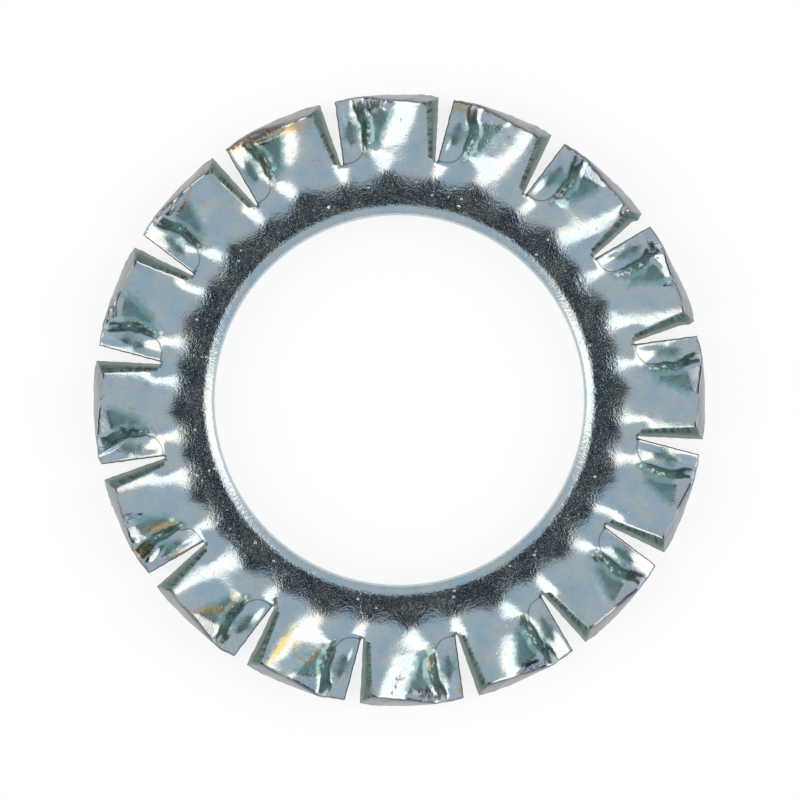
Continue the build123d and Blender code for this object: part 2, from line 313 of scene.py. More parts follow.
# ---- Colours of the finishes ----
PLATE_COLOUR = (0.545, 0.590, 0.590)
BLUE_COLOUR = (0.44, 0.545, 0.615)
LILAC_COLOUR = (0.53, 0.54, 0.58)
# teal: a tint of the plate in its stains, and painted dark reflection on the pressed triangles and in the
# hollows
TEAL_COLOUR = (0.18, 0.345, 0.360)
GOLDEN_COLOUR = (0.56, 0.39, 0.15)
RUST_COLOUR = (0.16, 0.085, 0.045)
# bright specks: chips, and painted glints
FLECK_COLOUR = (0.80, 0.82, 0.82)
DARK_COLOUR = (0.045, 0.065, 0.065)  # scuffs, painted shade in the creases and at the slot roots, and borders

# ---- Shader nodes: their layout, and the Mix node's sockets for colours by number ----
NODES_IN_ROW = 8
NODE_STEP = (220, -340)
COLOUR_MIX_INPUTS = (0, 6, 7)
COLOUR_MIX_OUTPUT = 2

# ---- Grain of the plate: scales are per metre ----
GRAIN_DEPTH = 0.0028         # mm
GRAIN_SCALE = 15000.0
BROAD_SCALE = 4687.5
BROAD_SHARE = 0.7            # height of the broad waves against the fine ones
CLOUD_SCALE = 1300.0
PIT_SCALE = 5200.0
PIT_EDGE = (0.22, 0.05)      # from the edge of a pit to its bottom, as shares of its scale
PIT_CHOICE_SCALE = 2600.0
PIT_CHOICE = (0.55, 0.62)    # pits are left where the noise that chooses them is above this
PIT_DEPTH = 0.9
RING_GRAIN = 3.4             # the flat ring's grain is this much deeper
RING_GRAIN_FADE = (6.05, 6.70)       # down to the teeth's between these radii, in mm

# ---- Stains, with teal that also paints dark reflection and flecks that also paint glints: (mark, colour, strength, softness of its edges) ----
STAIN_AND_REFLECTION_LAYERS = (("Teal", TEAL_COLOUR, 0.9, 0.45), ("Golden", GOLDEN_COLOUR, 0.80, 0.35),
                ("Rust", RUST_COLOUR, 0.9, 0.10), ("Fleck", FLECK_COLOUR, 1.0, 0.10))
STAIN_SCALE = 7000.0
STAIN_RAGGEDNESS = 1.6       # strength of the noise against the mark
STAIN_LEVEL = 1.25           # a stain is half strong where both come to this
TEAL_MATT = 0.5              # share of the metal's shine that teal takes

# ---- Scuffs: stretched noise on the unrolled sheet ----
SCUFF_GAIN = 0.4             # strength of the mark against the noise
SCUFF_LEVEL = 0.84           # a scuff is half strong where both come to this
SCUFF_STRETCH = {"Across": 15.0, "Along": 5.0, "Softness": 0.10}
TICK_STRETCH = {"Across": 9.0, "Along": 0.8, "Softness": 0.035}      # on the cut faces

# ---- Formed faces of the plate; widths in mm ----
CLOUD_SHADES = (0.35, 0.65)  # a plate goes from its first shade to its second between these cloud levels
CLOUD_ROUGHNESS = (0.3, 0.7) # and from its lower roughness to its higher one between these
PLATE_ROUGHNESS = (0.14, 0.19)
LILAC_EDGE = (0.02, 0.16)    # lilac fades out between these distances from an edge
LILAC_STRENGTH = 0.6
CREASE_LINE = 0.036          # half width of the line of painted shade in the crease, which is also a groove in the relief
CREASE_SHADE = 0.6
BORDER_LINE = 0.035          # width of the dark line along the edges
BORDER_DARKNESS = 0.4
SCUFF_DARKNESS = 0.8
SCUFF_DEPTH = 1.2            # against the grain's depth
STAIN_ROUGHNESS = 0.35       # how much rust and flecks add to the roughness
SCUFF_ROUGHNESS = 0.25

# ---- Cut faces ----
# the sheared sides' dark teal-green base is painted shade and reflection of the narrow slots, over the
# duller tone of sheared metal
SHEARED_SIDE = {"base": (0.190, 0.300, 0.265), "roughness": 0.32, "ticks": 0.82, "bare": 0.38}
BLANKED_RIM = {"base": (0.33, 0.35, 0.375), "roughness": 0.34, "ticks": 0.25, "bare": 0.9}
CUT_SHADE = 0.7              # the darker of a cut face's shades against the lighter
CUT_PITS = 0.5
CUT_ROUGHNESS_DRIFT = 0.05   # to either side
CUT_STAIN_ROUGHNESS = 0.3
TICK_FADE = (0.25, 0.65)     # ticks fade between these distances below the upper edge, in mm
TICK_REST = 0.2              # to this share of their strength
TICK_DARKNESS = 0.85
TICK_DEPTH = 1.5


# ==== Curves and unevenness ====

def smooth(start, end, value):
    """A soft step: 3t^2 - 2t^3, with t running from 0 at start to 1 at end."""
    t = np.clip((value - start) / (end - start), 0.0, 1.0)
    return t * t * (3.0 - 2.0 * t)


def mix(first, second, share):
    """The first value at share 0, the second at share 1, and straight between them."""
    return first + (second - first) * share


def through(knots, value):
    """A cubic curve through knots (place, height, slope), level with its ends beyond them."""
    places, heights, slopes = np.array(knots).T
    value = np.clip(value, places[0], places[-1])
    after = np.clip(np.searchsorted(places, value, side="right"), 1, len(places) - 1)
    before = after - 1
    step = places[after] - places[before]
    t = (value - places[before]) / step
    rise = t * t * (3.0 - 2.0 * t)
    start_slope = t * (1.0 - t) ** 2 * step * slopes[before]
    end_slope = t * t * (t - 1.0) * step * slopes[after]
    return mix(heights[before], heights[after], rise) + start_slope + end_slope


def waver(key, x, y, cell):
    """Soft random waves from -1 to 1: values on a square lattice, blended with soft steps."""
    lattice = np.random.default_rng((SEED, key)).uniform(-1.0, 1.0, (LATTICE_SIZE, LATTICE_SIZE))
    column = np.floor(x / cell)
    row = np.floor(y / cell)
    across = smooth(0.0, 1.0, x / cell - column)
    up = smooth(0.0, 1.0, y / cell - row)
    left = column.astype(int) % LATTICE_SIZE
    low = row.astype(int) % LATTICE_SIZE
    right = (left + 1) % LATTICE_SIZE
    high = (low + 1) % LATTICE_SIZE
    lower = mix(lattice[low, left], lattice[low, right], across)
    upper = mix(lattice[high, left], lattice[high, right], across)
    return mix(lower, upper, up)


def bumps(rows, tooth, value):
    """Sum of rounded bumps along a line: height times exp(-t^2), for the rows of one tooth."""
    total = np.zeros_like(value)
    for owner, place, width, height in rows:
        if owner == tooth:
            total += height * np.exp(-((value - place) / width) ** 2)
    return total


def clockwise(x, y, teeth):
    """The place (x, y) turned clockwise round the hole by a number of teeth: x cos a + y sin a and
    y cos a - x sin a."""
    angle = 2.0 * HALF_PITCH * teeth
    return x * math.cos(angle) + y * math.sin(angle), y * math.cos(angle) - x * math.sin(angle)


def outward(x, r):
    """y of a place from its x and its distance from the axis."""
    return np.sqrt(r ** 2 - x ** 2)


def ovals(rows, place):
    """Sum of soft leaning ovals: strength times exp(-a^2 - b^2), with a along and b across each."""
    total = np.zeros_like(place[0])
    for tooth, x, y, half_length, half_breadth, lean, strength in rows:
        across, up = clockwise(*place, -tooth)
        turn = math.radians(lean)
        along = (across - x) * math.cos(turn) + (up - y) * math.sin(turn)
        beside = (up - y) * math.cos(turn) - (across - x) * math.sin(turn)
        total += strength * np.exp(-(along / half_length) ** 2 - (beside / half_breadth) ** 2)
    return total


# ==== Shape of the bent sheet ====

def lift(r):
    """Lift along a tooth's crest: none on the flat ring, a parabola over the bend, then a slope that
    eases evenly to the rim's."""
    bend = np.clip(r - FLAT_RADIUS, 0.0, BEND_WIDTH)
    beyond = np.clip(r - FLAT_RADIUS - BEND_WIDTH, 0.0, None)
    run = RIM_RADIUS - FLAT_RADIUS - BEND_WIDTH
    easing = (BEND_SLOPE - RIM_SLOPE) * beyond ** 2 / (2.0 * run)
    return BEND_SLOPE * (bend ** 2 / (2.0 * BEND_WIDTH) + beyond) - easing


def share_across(x, r):
    """0 on the slot line at a tooth's left, 1 on the one at its right."""
    return 0.5 + 0.5 * x / (r * math.sin(HALF_PITCH))


def web_height(x, r):
    """Top of the wavy sheet inside the slots: low near each slot's left end, high near its right."""
    return lift(r) * through(WEB_KNOTS, share_across(x, r))


def panel_height(x, r):
    """Top of the twisted panel outside the slots. Towards the rim its rise moves to the right."""
    share = share_across(x, r)
    inner = through(PANEL_KNOTS, share)
    outer = through(RIM_PANEL_KNOTS, share)
    return lift(r) * mix(inner, outer, smooth(*PANEL_CHANGE, r))


def past_triangle(x, r):
    """How far a place lies beyond the line that ends the pressed triangle, negative inside it."""
    return r - TRIANGLE_TOP[0] - TRIANGLE_TOP[1] * x


def triangle_plane(x, r):
    """Height of the plane that the punch pressed into the middle of a tooth, steeper beyond its end."""
    start = tuple(np.array(place) for place in TRIANGLE_START)
    start_height = float(panel_height(*start)) + TRIANGLE_HEIGHT
    inner = start_height + TRIANGLE_RISE[0] * (x - start[0]) + TRIANGLE_RISE[1] * (r - start[1])
    return inner + TRIANGLE_TOP_RISE * np.clip(past_triangle(x, r), 0.0, None)


def pressed_triangle(x, r, panel):
    """The higher of the panel and the pressed plane, with the fold where they cross rounded by a
    parabola."""
    plane = triangle_plane(x, r)
    rounding = np.clip(FOLD_ROUND - np.abs(plane - panel), 0.0, None) ** 2 / (4.0 * FOLD_ROUND)
    return mix(panel, np.maximum(plane, panel) + rounding, smooth(*TRIANGLE_FADE, r))


def outside_hollow(x, r, place):
    """Distance outside the hollow's outline, a box with one rounded corner, negative inside it. Also how
    far the outline has turned to face the hole, from 0 to 1."""
    veer = HOLLOW_VEER_WIDTH * smooth(*HOLLOW_VEER, r)
    across = x + veer - (HOLLOW_EDGE - HOLLOW_CORNER)
    inward = (HOLLOW_BOTTOM + HOLLOW_CORNER) - r
    reach = np.hypot(np.clip(across, 0.0, None), np.clip(inward, 0.0, None))
    inside = np.minimum(np.maximum(across, inward), 0.0)
    turn = np.clip(inward, 0.0, None) / np.maximum(reach, SMALLEST)
    wander = CREASE_WANDER[1] * waver(CREASE_PATTERN, *place, CREASE_WANDER[0])
    return reach + inside - HOLLOW_CORNER + wander * smooth(*CREASE_START, r), turn


def beside_crease(distance, r):
    """1 in the rough strip beside the crease: a bell across it, fading out at both ends."""
    bell = np.exp(-((distance - STRIP_PLACE[0]) / STRIP_PLACE[1]) ** 2)
    return bell * smooth(*STRIP_START, r) * smooth(*STRIP_END, r)


def hollow_floor(x, r):
    """The hollow's floor: a line of heights along its left edge turns softly into one along its middle.
    It rises to the right, most at the rim, and curls up as a parabola."""
    from_edge = x + half_width(r)
    edge = through(HOLLOW_EDGE_KNOTS, r)
    middle = through(HOLLOW_MIDDLE_KNOTS, r)
    started = smooth(*FLOOR_START, r)
    curl = HOLLOW_CURL[1] * np.clip(from_edge - HOLLOW_CURL[0], 0.0, None) ** 2 * started
    tilt = mix(*HOLLOW_TILT, smooth(*TILT_CHANGE, r)) * started
    rise = tilt * np.clip(from_edge - HOLLOW_TURN[0], 0.0, None)
    return mix(edge, middle, smooth(*HOLLOW_TURN, from_edge)) + curl + rise


def swell(r, place):
    """Unevenness of the formed sheet: waves of two sizes, none on the flat ring, finer ones where scuffs
    tore it, and the dents."""
    waves = np.zeros_like(r)
    for number, (cell, height) in enumerate(SWELLS):
        waves += height * waver(SWELL_PATTERN + number, *place, cell)
    torn = TORN_HEIGHT * waver(TORN_PATTERN, *place, TORN_CELL) * np.clip(ovals(SCUFFS, place), 0.0, 1.0)
    return waves * smooth(*SWELL_START, r) + torn + ovals(DENTS, place)


def rolled_edge(from_rim):
    """Drop along the rim, where blanking rolled its edge over: a parabola down to the edge."""
    return RIM_ROLL[1] * np.clip(1.0 - from_rim / RIM_ROLL[0], 0.0, 1.0) ** 2


def hollow_wall(distance, turn):
    """Share of the way up from the hollow's floor to the panel: the mean of an even slope and a soft
    step. Where the outline turns to face the hole, the wall is narrower."""
    start = mix(HOLLOW_WALL[0], 0.0, turn ** 2)
    end = mix(HOLLOW_WALL[1], HOLLOW_STEP, turn ** 2)
    up = np.clip((distance - start) / (end - start), 0.0, 1.0)
    return mix(smooth(0.0, 1.0, up), up, WALL_EVENNESS)


def tooth_height(x, r, look, from_rim):
    """Top of the sheet over a tooth, above the flat ring's top: the panel, with the triangle, the rolled
    rim and the rough strip on it, goes over the wall into the hollow's floor."""
    place = place_on_top(x, r, look)
    panel = mix(web_height(x, r), panel_height(x, r), smooth(*PANEL_START, r))
    panel = pressed_triangle(x, r, panel) - rolled_edge(from_rim)
    distance, turn = outside_hollow(x, r, place)
    panel = panel + STRIP_HEIGHT * waver(STRIP_PATTERN, *place, TORN_CELL) * beside_crease(distance, r)
    formed = mix(hollow_floor(x, r), panel, hollow_wall(distance, turn))
    return mix(panel, formed, smooth(*HOLLOW_START, r)) + swell(r, place)


# ==== Outline of a tooth ====

def reach_of(r):
    """Share of the way from the slot roots to the rim."""
    return (r - ROOT_RADIUS) / (RIM_RADIUS - ROOT_RADIUS)


def half_width(r):
    """Half the width of a tooth's section: the slot opens at once by a hair, then evenly."""
    at_once, share = SLOT_START
    opening = at_once * (1.0 - np.exp(-reach_of(r) / share)) + (SLOT_WIDTH / 2.0 - at_once) * reach_of(r)
    return r * math.sin(HALF_PITCH) - opening


def edge_lean(r):
    """How far a raised top edge stands back from its bottom edge."""
    reach = reach_of(r)
    return CUT_FACE_LEAN * mix(ROOT_LEAN, 1.0, reach) * smooth(0.0, LEAN_START, reach)


def side_lines(r):
    """x of the left and of the right edge of a tooth's top."""
    return -half_width(r), half_width(r) - edge_lean(r)


def rim_distance(x, side, tooth):
    """Radius of the rim's lower edge on the underside, side -1, and of its upper edge on the top, side 1.
    Both waver, and burrs stand out from both."""
    row = np.full_like(x, RIM_PATTERN_STEP * tooth)
    ragged = RIM_WANDER[1] * waver(RIM_PATTERN + side, x, row, RIM_WANDER[0])
    outline = through(OUTLINE_KNOTS, x) + ragged + bumps(RIM_BURRS, tooth, x)
    outline = np.minimum(outline, RIM_LIMIT)
    if side < 0:
        return outline
    return outline - through(RIM_FACE_KNOTS, x)


def side_ragged(r, side, end, tooth):
    """How far a tooth's left side, end -1, or right side, end 1, stands out: it wavers, more towards the
    rim, and the raised one has burrs."""
    row = np.full_like(r, SIDE_PATTERN_STEP * tooth)
    ragged = SIDE_WANDER[1] * waver(SIDE_PATTERN + side + 3 * end, r, row, SIDE_WANDER[0])
    if side == end:
        ragged = ragged + bumps(SIDE_BURRS, tooth, r)
    return ragged * smooth(*RAGGED_START, r)


def face_grid(shares, reaches, inset, side, tooth):
    """(x, r, height) of one face of a tooth, as a top. shares run from the left edge to the right one and
    reaches outward from the slot roots to the rim. The inset keeps room for the edge rounding. For the
    underside, side -1, the tooth is seen turned over. The rim and the sides depend on each other, so the
    grid is worked out in passes that each start from the one before."""
    reach, share = np.meshgrid(reaches, shares, indexing="ij")
    step_in = inset * smooth(0.0, ROUND_START, reach)
    r = mix(ROOT_RADIUS, GRID_START, reach)
    for _ in range(GRID_PASSES):
        left, right = side_lines(r)
        left = left + step_in - side_ragged(r, side, -1, tooth)
        right = right - step_in + side_ragged(r, side, 1, tooth)
        x = mix(left, right, share)
        rim = rim_distance(side * x, side, tooth)
        r = mix(ROOT_RADIUS, rim - step_in, reach)
    return x, r, tooth_height(x, r, look_of(tooth, side), rim - r)


def look_of(tooth, side):
    """Which tooth's look a face has: the underside is the top turned over about the first tooth."""
    return (side * tooth) % TOOTH_COUNT


def place_on_top(x, r, look):
    """Washer coordinates of a place given in the frame of tooth number look."""
    return clockwise(x, outward(x, r), look)


# ==== Marks: each is a value at every point for the materials ====

def horseshoe(place):
    """A golden line round a circle on one tooth, left open towards the hole."""
    tooth, x, y, radius, width = HORSESHOE_STAIN
    across, up = clockwise(*place, -tooth)
    distance = np.hypot(across - x, up - y)
    line = np.exp(-((distance - radius) / width) ** 2)
    return HORSESHOE_STRENGTH * line * smooth(*HORSESHOE_OPENING, (up - y) / radius)


def root_painted_shade(x, r):
    """Painted shade at the slot roots on both sides of a tooth, drawn as dark scuffs: one oval on each."""
    across = (np.abs(x) - ROOT_SHADE_PLACE[0]) / ROOT_SHADE_SIZE[0]
    along = (r - ROOT_SHADE_PLACE[1]) / ROOT_SHADE_SIZE[1]
    return ROOT_SHADE_STRENGTH * np.exp(-across ** 2 - along ** 2)


def rim_rust(x, from_rim, look):
    """Rust along the rim: half a bell inward from it, fading out to the right."""
    bell = np.exp(-(from_rim / RIM_RUST_WIDTH) ** 2)
    return RIM_RUST_STRENGTH * RIM_RUST[look] * bell * smooth(*RIM_RUST_END, x)


def on_triangle(x, r, distance):
    """1 on the pressed triangle, with soft steps over its fold, its two ends and the crease."""
    fold = smooth(*TRIANGLE_TEAL_FOLD, triangle_plane(x, r) - panel_height(x, r))
    ends = smooth(*TRIANGLE_FADE, r) * smooth(*TRIANGLE_TEAL_TOP, past_triangle(x, r))
    return fold * ends * smooth(*TRIANGLE_TEAL_CREASE, distance)


def sheet_marks(place, crease, edge, teal):
    """The marks of a formed face: the crease and edge distances, the given teal of painted dark
    reflection, and the stains of its place.
    """
    return {
        "crease": crease,
        "edge": edge,
        "teal": teal + ovals(TEAL_STAINS, place),
        "scuff": ovals(SCUFFS, place),
        "golden": ovals(GOLDEN_STAINS, place) + horseshoe(place),
        "rust": ovals(RUST_SPOTS, place),
        "fleck": ovals(FLECKS_AND_GLINTS, place),
    }


def tooth_marks(x, r, look, side, tooth):
    """The marks of a tooth's face. Teal in the hollow and on the pressed triangle is painted dark
    reflection. Rust lies at the rim, and stains of several kinds lie in the strip beside the crease. The
    slot roots get painted shade."""
    place = place_on_top(x, r, look)
    distance, _ = outside_hollow(x, r, place)
    left, right = side_lines(r)
    from_rim = rim_distance(side * x, side, tooth) - r
    edge = np.minimum(np.minimum(x - left, right - x), from_rim)
    # painted dark reflection: teal in every hollow and on the pressed triangle
    teal = ovals(HOLLOW_REFLECTION_PATCH, (x, outward(x, r))) + TRIANGLE_TEAL_REFLECTION * on_triangle(x, r, distance)
    marks = sheet_marks(place, distance, edge, teal)
    # painted shade at the slot roots, laid into the scuff mark
    marks["scuff"] += root_painted_shade(x, r)
    marks["rust"] += rim_rust(x, from_rim, look)
    strip = beside_crease(distance, r)
    for name, strength in STRIP_STAINS.items():
        marks[name] += strength * strip
    return marks


def cut_marks(edge, tooth):
    """The marks of the cut faces: the distance to their upper edge, and an even tint. They lie far from
    the crease."""
    none = np.zeros_like(edge)
    return {"crease": none + 1.0, "edge": edge, "teal": none, "scuff": none, "fleck": none,
            "golden": none + CUT_TINT[tooth], "rust": none + CUT_RUST * RIM_RUST[tooth]}


# ==== Patches: each is a grid of points with its marks ====

def face_points(x, r, height, side):
    """Points (x, y, z) in a tooth's frame, for a face worked out as a top. The underside, side -1, is
    turned over."""
    return np.stack([side * x, outward(x, r), side * (HALF_SHEET + height)], axis=-1)


def turned(points, tooth):
    """Points of a tooth's frame taken clockwise round the hole to that tooth's place."""
    x, y = clockwise(points[..., 0], points[..., 1], tooth)
    return np.stack([x, y, points[..., 2]], axis=-1)


class Shell:
    """Collects grids of points with their marks, and makes one closed mesh of them."""

    def __init__(self):
        self.points = []
        self.places = []
        self.marks = []
        self.quads = []
        self.finishes = []
        self.count = 0

    def add(self, points, places, marks, finish):
        """points is (rows, columns, 3), places (rows, columns, 2) on the sheet, and each mark
        (rows, columns)."""
        rows, columns = points.shape[:2]
        corner = (np.arange(rows - 1)[:, None] * columns + np.arange(columns - 1)).ravel() + self.count
        self.quads.append(np.stack([corner, corner + 1, corner + columns + 1, corner + columns], axis=1))
        self.finishes.append(np.full(len(corner), finish))
        self.points.append(points.reshape(-1, 3))
        self.places.append(places.reshape(-1, 2))
        self.marks.append(np.stack([marks[name].ravel() for name in MARK_NAMES], axis=1))
        self.count += rows * columns

    def mesh(self, name):
        """One mesh in metres, with its patches welded, its faces outward and smooth."""
        mesh = bpy.data.meshes.new(name)
        points = np.concatenate(self.points) * MM
        quads = np.concatenate(self.quads)
        mesh.from_pydata(points, [], quads)
        mesh.polygons.foreach_set("material_index", np.concatenate(self.finishes))
        corner_points = quads.ravel()
        uv = mesh.uv_layers.new(name="sheet")
        uv.data.foreach_set("uv", np.concatenate(self.places)[corner_points].ravel())
        marks = np.concatenate(self.marks)[corner_points]
        for number, mark_name in enumerate(MARK_NAMES):
            values = mesh.attributes.new(mark_name, "FLOAT", "CORNER")
            values.data.foreach_set("value", np.ascontiguousarray(marks[:, number], dtype=np.float32))
        weld(mesh)
        return mesh


def weld(mesh):
    """Joins the points that patches share and turns every face outward."""
    work = bmesh.new()
    work.from_mesh(mesh)
    bmesh.ops.remove_doubles(work, verts=work.verts, dist=WELD_DISTANCE)
    bmesh.ops.recalc_face_normals(work, faces=work.faces)
    for face in work.faces:
        face.smooth = True
    work.to_mesh(mesh)
    work.free()


def packed_shares():
    """Shares from 0 to 1, one for each column's edge, packed closer over the hollow and its wall: even
    ones, less a cubic curve that is 0 at both ends."""
    even = np.linspace(0.0, 1.0, COLUMNS + 1)
    pull = even * (1.0 - even) * (1.0 - PACKING_FADE * even)
    return even - SHARE_PACKING * pull


def sheet_places(x, r, look):
    """Places on the unrolled sheet, in mm: across, with a step from tooth to tooth, and outward."""
    return np.stack([x + SHEET_STEP * look, r], axis=-1)


def add_tooth(shell, tooth):
    """Top, underside and cut faces of one tooth."""
    reaches = np.linspace(0.0, 1.0, TOOTH_ROWS + 1)
    borders = []
    corners = []
    for side in (1, -1):
        look = look_of(tooth, side)
        x, r, height = face_grid(packed_shares(), reaches, EDGE_ROUND, side, tooth)
        points = face_points(x, r, height, side)
        marks = tooth_marks(x, r, look, side, tooth)
        shell.add(turned(points, tooth), sheet_places(x, r, look), marks, FORMED)
        borders.append(border_of(points))
        sharp = face_grid(packed_shares(), reaches, 0.0, side, tooth)
        corners.append(border_of(face_points(*sharp, side)))
    band = cut_band(borders[0], corners[0], corners[1][::-1], borders[1][::-1])
    add_cut_faces(shell, band, tooth)


def border_of(points):
    """The edge of a tooth's face: up its first column, along its outer row and down its last column."""
    return np.concatenate([points[:-1, 0], points[-1, :-1], points[:0:-1, -1], points[:1, -1]])


def cut_band(top, top_corner, under_corner, under):
    """The cut faces round a tooth: a rounded upper edge, a straight wall and a rounded lower edge."""
    wall = under_corner - top_corner
    length = np.linalg.norm(wall, axis=-1, keepdims=True)
    wall_start = top_corner + wall * EDGE_ROUND / length
    wall_end = under_corner - wall * EDGE_ROUND / length
    lines = [top, bend_middle(top, top_corner, wall_start), wall_start, mix(wall_start, wall_end, 0.5)]
    lines += [wall_end, bend_middle(under, under_corner, wall_end), under]
    return np.stack(lines, axis=1)


def bend_middle(start, corner, end):
    """Middle of the round that replaces a corner: half the corner and a quarter of each end."""
    return (start + 2.0 * corner + end) / 4.0


def add_cut_faces(shell, band, tooth):
    """The band in three runs, the rim face between the two sheared sides. Places on it are mm along the
    band and mm down it."""
    top = band[:, 0]
    along = np.concatenate([[0.0], np.cumsum(np.linalg.norm(np.diff(top, axis=0), axis=1))])
    steps = np.linalg.norm(np.diff(band, axis=1), axis=-1)
    down = np.concatenate([np.zeros((len(band), 1)), np.cumsum(steps, axis=1)], axis=1)
    along = np.repeat(along[:, None], band.shape[1], axis=1)
    places = np.stack([along + SHEET_STEP * tooth, down], axis=-1)
    marks = cut_marks(down, tooth)
    runs = ((0, TOOTH_ROWS, SHEAR), (TOOTH_ROWS, TOOTH_ROWS + COLUMNS, RIM),
            (TOOTH_ROWS + COLUMNS, len(band) - 1, SHEAR))
    for start, end, finish in runs:
        part = slice(start, end + 1)
        part_marks = {name: values[part] for name, values in marks.items()}
        shell.add(turned(band[part], tooth), places[part], part_marks, finish)


def add_web(shell, tooth):
    """Both faces of the wavy sheet between the flat ring and the slots, for one pitch. Its columns are
    even at the flat ring and packed like a tooth's at the slots."""
    even = np.linspace(0.0, 1.0, COLUMNS + 1)
    radii = np.linspace(FLAT_RADIUS, ROOT_RADIUS, WEB_ROWS + 1)[:, None]
    reach = (radii - FLAT_RADIUS) / (ROOT_RADIUS - FLAT_RADIUS)
    r = np.repeat(radii, COLUMNS + 1, axis=1)
    round_place = np.sin((2.0 * even - 1.0) * HALF_PITCH) / math.sin(HALF_PITCH)
    x = r * math.sin(HALF_PITCH) * mix(round_place, 2.0 * packed_shares() - 1.0, reach)
    far = np.ones_like(x)
    for side in (1, -1):
        look = look_of(tooth, side)
        place = place_on_top(x, r, look)
        points = face_points(x, r, web_height(x, r) + swell(r, place), side)
        marks = sheet_marks(place, far, far, np.zeros_like(x))
        # painted shade at the slot roots, laid into the scuff mark
        marks["scuff"] += root_painted_shade(x, r)
        shell.add(turned(points, tooth), sheet_places(x, r, look), marks, FORMED)


def ring_profile():
    """(r, z) round the flat ring's section: top, rolled edge, hole wall, burr edge and underside."""
    roll_end = HOLE_RADIUS + HOLE_ROLL_WIDTH
    turn = np.linspace(0.0, math.pi / 2.0, ROLL_STEPS + 1)
    top = [(r, HALF_SHEET) for r in np.linspace(FLAT_RADIUS, roll_end, FLAT_STEPS + 1)[:-1]]
    roll = np.stack([roll_end - HOLE_ROLL_WIDTH * np.sin(turn),
                     HALF_SHEET - HOLE_ROLL_DEPTH * (1.0 - np.cos(turn))], axis=1)
    wall_bottom = HOLE_BURR - HALF_SHEET
    wall = [(HOLE_RADIUS, mix(HALF_SHEET - HOLE_ROLL_DEPTH, wall_bottom, t)) for t in HOLE_WALL_SHARES]
    under = [(r, -HALF_SHEET) for r in np.linspace(HOLE_RADIUS + HOLE_BURR, FLAT_RADIUS, FLAT_STEPS + 1)]
    return np.concatenate([top, roll, wall, under])


def add_flat_ring(shell):
    """The flat ring with its hole, its section carried round the axis."""
    profile = ring_profile()[::-1]
    angle = np.linspace(0.0, 2.0 * math.pi, TOOTH_COUNT * COLUMNS + 1) + HALF_PITCH
    r, angle = np.meshgrid(profile[:, 0], angle, indexing="ij")
    z = np.repeat(profile[:, 1:], angle.shape[1], axis=1)
    place = (r * np.sin(angle), r * np.cos(angle))
    far = np.ones_like(r)
    marks = sheet_marks(place, far, far, np.zeros_like(r))
    shell.add(np.stack([*place, z], axis=-1), np.stack([r * angle, r], axis=-1), marks, FORMED)


def make_washer():
    """The whole washer as one object: the flat ring, then the web and the tooth of every pitch."""
    shell = Shell()
    add_flat_ring(shell)
    for tooth in range(TOOTH_COUNT):
        add_web(shell, tooth)
        add_tooth(shell, tooth)
    washer = bpy.data.objects.new("washer", shell.mesh("washer"))
    bpy.context.scene.collection.objects.link(washer)
    return washer


# ==== Shader nodes ====

def node(tree, kind, inputs=None, **settings):
    """A shader node, laid out in rows in the order of making. settings are its properties; inputs gives
    its sockets values or the outputs that feed them."""
    row, column = divmod(len(tree.nodes), NODES_IN_ROW)
    made = tree.nodes.new(kind)
    made.location = (column * NODE_STEP[0], row * NODE_STEP[1])
    for name, value in settings.items():
        setattr(made, name, value)
    for name, value in (inputs or {}).items():
        feed(tree, made.inputs[name], value)
    return made


def feed(tree, socket, value):
    """Sets a socket, or links an output to it."""
    if isinstance(value, bpy.types.NodeSocket):
        tree.links.new(value, socket)
    else:
        socket.default_value = value


def maths(tree, operation, first, second=0.0):
    """One operation on two values."""
    return node(tree, "ShaderNodeMath", {0: first, 1: second}, operation=operation).outputs[0]


def times(tree, first, second):
    """The product of two values."""
    return maths(tree, "MULTIPLY", first, second)


def ramp(tree, value, start, end, low=0.0, high=1.0):
    """A soft step from low to high as the value runs from start to end."""
    inputs = {"Value": value, "From Min": start, "From Max": end, "To Min": low, "To Max": high}
    made = node(tree, "ShaderNodeMapRange", inputs, interpolation_type="SMOOTHSTEP")
    return made.outputs["Result"]


def blend(tree, share, first, second):
    """A mix of two colours."""
    made = node(tree, "ShaderNodeMix", data_type="RGBA")
    for number, value in zip(COLOUR_MIX_INPUTS, (share, first, second)):
        feed(tree, made.inputs[number], value)
    return made.outputs[COLOUR_MIX_OUTPUT]


def noise(tree, where, scale, detail=2.0, roughness=0.5):
    """Cloudy noise around 0.5; scale is per unit of the place."""
    inputs = {"Vector": where, "Scale": scale, "Detail": detail, "Roughness": roughness}
    return node(tree, "ShaderNodeTexNoise", inputs).outputs[0]


def cells(tree, where, scale):
    """Distance to the nearest of many scattered points; scale is per unit of the place."""
    made = node(tree, "ShaderNodeTexVoronoi", {"Vector": where, "Scale": scale})
    return made.outputs["Distance"]


def stretched(tree, where, scale):
    """A place with each of its directions scaled on its own."""
    made = node(tree, "ShaderNodeVectorMath", {0: where, 1: scale}, operation="MULTIPLY")
    return made.outputs["Vector"]


def from_axis(tree, where):
    """Distance of a place from the hole's axis."""
    flat = stretched(tree, where, (1.0, 1.0, 0.0))
    return node(tree, "ShaderNodeVectorMath", {0: flat}, operation="LENGTH").outputs["Value"]


def mark(tree, name):
    """A mark of the mesh as a value."""
    return node(tree, "ShaderNodeAttribute", attribute_name=name).outputs["Fac"]


def paint(colour):
    """A colour as a socket takes it, with full cover."""
    return (*colour, 1.0)


